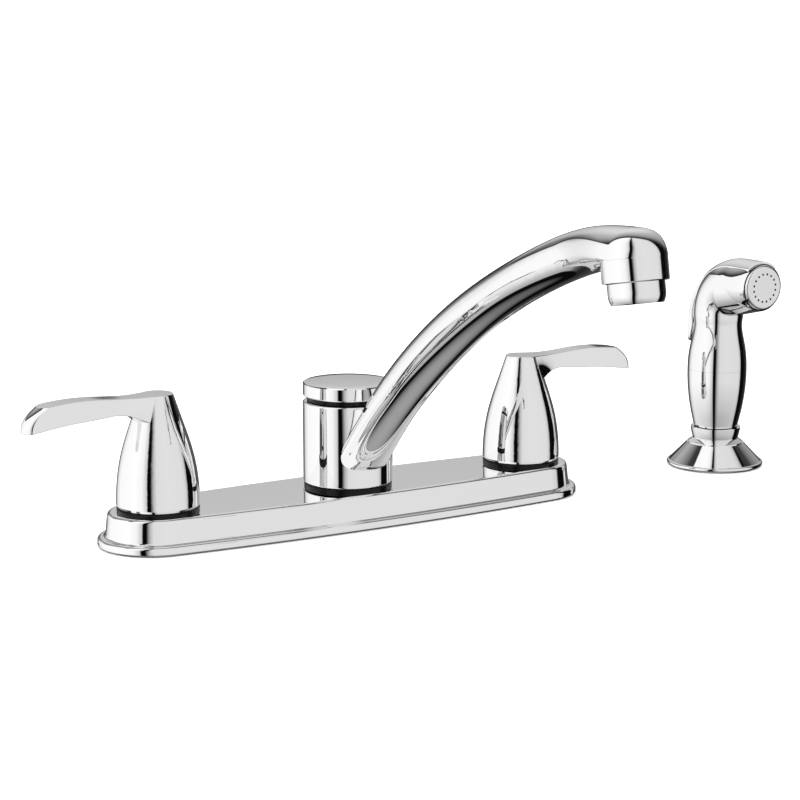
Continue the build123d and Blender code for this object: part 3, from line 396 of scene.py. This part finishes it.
def settled(field, weight, passes):
    """A field of rings evened out along and around, where its weights are not zero."""
    rows, columns = len(field), len(field[0])
    for _ in range(passes):
        for along, around in ((1, 0), (0, 1)):
            sums = [[0.0] * columns for _ in range(rows)]
            weights = [[0.0] * columns for _ in range(rows)]
            for r in range(rows):
                for c in range(columns):
                    for shift, share in NEIGHBOURS:
                        row, column = r + shift * along, (c + shift * around) % columns
                        if 0 <= row < rows:
                            sums[r][c] += share * weight[row][column] * field[row][column]
                            weights[r][c] += share * weight[row][column]
            field = [[v / w if w > TINY else 0.0 for v, w in zip(*pair)] for pair in zip(sums, weights)]
            weight = weights
    return field


def tube_rings():
    """Even rings along the tube's own curve, and the distance between them."""
    reach = [0.0]
    for a, b in zip(TUBE, TUBE[1:]):
        reach.append(reach[-1] + math.hypot(b[0] - a[0], b[1] - a[1]))
    share = (TUBE_TO - TUBE_FROM) / (TUBE_RINGS - 1)
    asked = [reach[-1] * (TUBE_FROM + (TUBE_TO - TUBE_FROM) * r / (TUBE_RINGS - 1)) for r in range(TUBE_RINGS)]
    columns = []
    for turned in TURNS:
        line = []
        for out, height, slope, half_width, half_depth in TUBE:
            lean = math.radians(slope)
            lift = half_depth * math.sin(turned)
            line.append(
                (half_width * math.cos(turned), -out + lift * math.sin(lean), height + lift * math.cos(lean))
            )
        along = [curve_through(reach, [place[k] for place in line], asked) for k in range(3)]
        columns.append([Vector(place) * MM for place in zip(*along)])
    return [list(ring) for ring in zip(*columns)], reach[-1] * share * MM


def laid_on_solid(rings):
    """The rings moved onto the spout's solid, evened out, and raised a little."""
    solid = nodes["spout"]
    shape = BVHTree.FromPolygons(
        [solid.matrix_world @ v.co for v in solid.data.vertices], [p.vertices[:] for p in solid.data.polygons]
    )
    off, trust, normals = [], [], []
    for r, ring in enumerate(rings):
        before, after = rings[max(r - 1, 0)], rings[min(r + 1, TUBE_RINGS - 1)]
        row = []
        for c, place in enumerate(ring):
            around = ring[(c + 1) % TUBE_ROUND] - ring[c - 1]
            normal = (after[c] - before[c]).cross(around).normalized()
            if normal.dot(place - ring[(c + HALF_ROUND) % TUBE_ROUND]) < 0:
                normal.negate()
            nearest, facing, _, distance = shape.find_nearest(place)
            followed = distance < SKIN_NEAR * MM and abs(facing.dot(normal)) > SKIN_FACING
            row.append((normal, (nearest - place).dot(normal) if followed else 0.0, 1.0 if followed else 0.0))
        normals.append([normal for normal, _, _ in row])
        off.append([gap for _, gap, _ in row])
        trust.append([weight for _, _, weight in row])
    off = settled(off, trust, SETTLE_PASSES)
    return [
        [place + normal * (gap + SKIN_RISE * MM) for place, normal, gap in zip(*row)]
        for row in zip(rings, normals, off)
    ]


def on_dome(turned, tip):
    """Place on the head's dome, in millimetres: round as the tube's rings are, tipped from up to forward."""
    fade = max(0.0, math.cos(SHOULDER_FADE * (tip - BROW_TO)))
    fuller = 1 + SHOULDER * fade**2 * math.sin(2 * turned) ** 2
    sweep = HEAD_FORWARD * (SKIN_R * math.sin(tip)) + HEAD_AXIS * (SKIN_DOME * math.cos(tip))
    return HEAD_MIDDLE + (Vector((SKIN_R * math.cos(turned), 0, 0)) + sweep * math.sin(turned)) * fuller


def brow_rings(before, start, spacing):
    """Rings from the tube's last one to the dome: a cubic blend that leaves as the tube runs and ends level."""
    goal = []
    for turned in TURNS:
        if math.sin(turned) >= -TINY:
            goal.append(on_dome(turned, BROW_TO) * MM)
        else:
            below = Vector((SKIN_R * math.cos(turned), 0, BROW_DEEP * math.sin(turned)))
            goal.append((HEAD_MIDDLE + below) * MM)
    rings = []
    for k in range(1, BROW_RINGS + 1):
        u = k / BROW_RINGS
        swell = BROW_SWELL * (math.sin(math.pi * u) ** 2)
        ring = []
        for c, turned in enumerate(TURNS):
            span = (goal[c] - start[c]).length
            place = start[c] * (2 * u**3 - 3 * u**2 + 1) + goal[c] * (3 * u**2 - 2 * u**3)
            place += (start[c] - before[c]) / spacing * span * (u**3 - 2 * u**2 + u)
            place += Vector((0, -1, 0)) * span * (u**3 - u**2)
            outward = Vector((math.cos(turned), 0, max(0.0, math.sin(turned))))
            ring.append(place + outward * swell * MM)
        rings.append(ring)
    return rings


def dome_arcs():
    """Half rings forward over the dome, without the two points at its sides that they all share."""
    arcs = []
    for k in range(1, DOME_RINGS + 1):
        tip = BROW_TO + (math.pi / 2 - BROW_TO) * k / DOME_RINGS
        arcs.append([on_dome(turned, tip) * MM for turned in TURNS[1:HALF_ROUND]])
    return arcs


def skirt_arcs():
    """Half rings down the head's front and into its wall."""
    arcs = []
    for down, inward in SKIRT:
        foot, r = HEAD_MIDDLE - HEAD_AXIS * down, SKIN_R - inward
        arcs.append([
            (foot + Vector((math.cos(turned), 0, 0)) * r + HEAD_FORWARD * math.sin(turned) * r) * MM
            for turned in TURNS[: HALF_ROUND + 1]
        ])
    return arcs


def in_head(vert):
    """Whether a vertex lies inside the middle of the head's wall."""
    arm = vert.co / MM - HEAD_MIDDLE
    return (arm - HEAD_AXIS * arm.dot(HEAD_AXIS)).length < HEAD_WALL_R


def spout_skin():
    """An even skin over the spout's tube and head, so that lines reflected in it run smoothly."""
    rings, spacing = tube_rings()
    rings = laid_on_solid(rings)
    rings += brow_rings(rings[-2], rings[-1], spacing)
    form = bmesh.new()
    grid = [[form.verts.new(place) for place in ring] for ring in rings]
    for a, b in zip(grid, grid[1:]):
        for c in range(TUBE_ROUND):
            corners = (a[c - 1], a[c], b[c], b[c - 1])
            underneath = c == 0 or c > HALF_ROUND
            if not (underneath and all(in_head(vert) for vert in corners)):
                form.faces.new(corners)

    last = grid[-1][: HALF_ROUND + 1]
    first_side, second_side = last[0], last[-1]
    rows = [[first_side] + [form.verts.new(place) for place in arc] + [second_side] for arc in dome_arcs()]
    rows += [[form.verts.new(place) for place in arc] for arc in skirt_arcs()]
    for row in rows:
        for c in range(HALF_ROUND):
            form.faces.new(dict.fromkeys((last[c], last[c + 1], row[c + 1], row[c])))
        last = row
    bmesh.ops.delete(form, geom=[vert for vert in form.verts if not vert.link_faces], context="VERTS")
    bmesh.ops.recalc_face_normals(form, faces=form.faces)
    piece = linked_object(form, "spout_skin")
    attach(piece, body_of("spout"))
    return piece


# ---- painted shade round the spray's face: a black ring where the gap between face and body shows dark, sizes in millimetres ----
FACE_ACROSS, FACE_REACH, FACE_HEIGHT = 228.6, 34.8, 100.0  # the ring's middle: right, towards the user, up
GAP_SHADE_R, GAP_SHADE_THICK = 12.05, 0.34  # radius of the ring and of its round section
GAP_SHADE_ROUND, GAP_SHADE_SIDES = 128, 16


def face_gap_shade():
    """Painted shade: a thin black ring laid where the gap between the spray's face and its body shows dark."""
    form = bmesh.new()
    rings = []
    for k in range(GAP_SHADE_ROUND):
        turned = 2 * math.pi * k / GAP_SHADE_ROUND
        ring = []
        for m in range(GAP_SHADE_SIDES):
            tip = 2 * math.pi * m / GAP_SHADE_SIDES
            out = GAP_SHADE_R + GAP_SHADE_THICK * math.cos(tip)
            place = Vector((
                FACE_ACROSS + out * math.cos(turned),
                -FACE_REACH - GAP_SHADE_THICK * math.sin(tip),
                FACE_HEIGHT + out * math.sin(turned),
            ))
            ring.append(form.verts.new(place * MM))
        rings.append(ring)
    for k in range(GAP_SHADE_ROUND):
        for m in range(GAP_SHADE_SIDES):
            form.faces.new((rings[k - 1][m - 1], rings[k][m - 1], rings[k][m], rings[k - 1][m]))
    bmesh.ops.recalc_face_normals(form, faces=form.faces)
    piece = linked_object(form, "spray_face_gap_shade")
    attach(piece, body_of("spray_face"))
    return piece


# ---- the whole ----
# Pieces that the sink deck hides. The floor doesn't show in reflections, so these are kept out of them as well.
UNDER_DECK = [
    "left_mounting_nut", "right_mounting_nut", "left_valve_body", "right_valve_body", "left_water_tube",
    "right_water_tube", "centre_body", "spray_holder_nut", "hose_coupling",
]


def body_of(node):
    return nodes[node]["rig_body"]


def dress():
    """Gives every node its finish, and adds the spout's skin and a black ring of painted shade in the gap round the
    spray's face.
    """
    finish = finishes()
    slot_of = {entry["node"]: entry["material_slot"] for entry in frame["record"]["subparts"]}
    for name, node in nodes.items():
        node.data.materials.clear()
        node.data.materials.append(finish[slot_of[name]])
    for name in UNDER_DECK:
        nodes[name].visible_glossy = False
    skin = spout_skin()
    skin.data.materials.append(finish["chrome"])
    # a black ring of painted shade in the gap between the spray's face and its body
    gap_shade = face_gap_shade()
    gap_shade.data.materials.append(finish["black_plastic"])


bpy.context.scene.view_settings.view_transform = "Standard"
camera()
surroundings()
lay_floor()
dress()
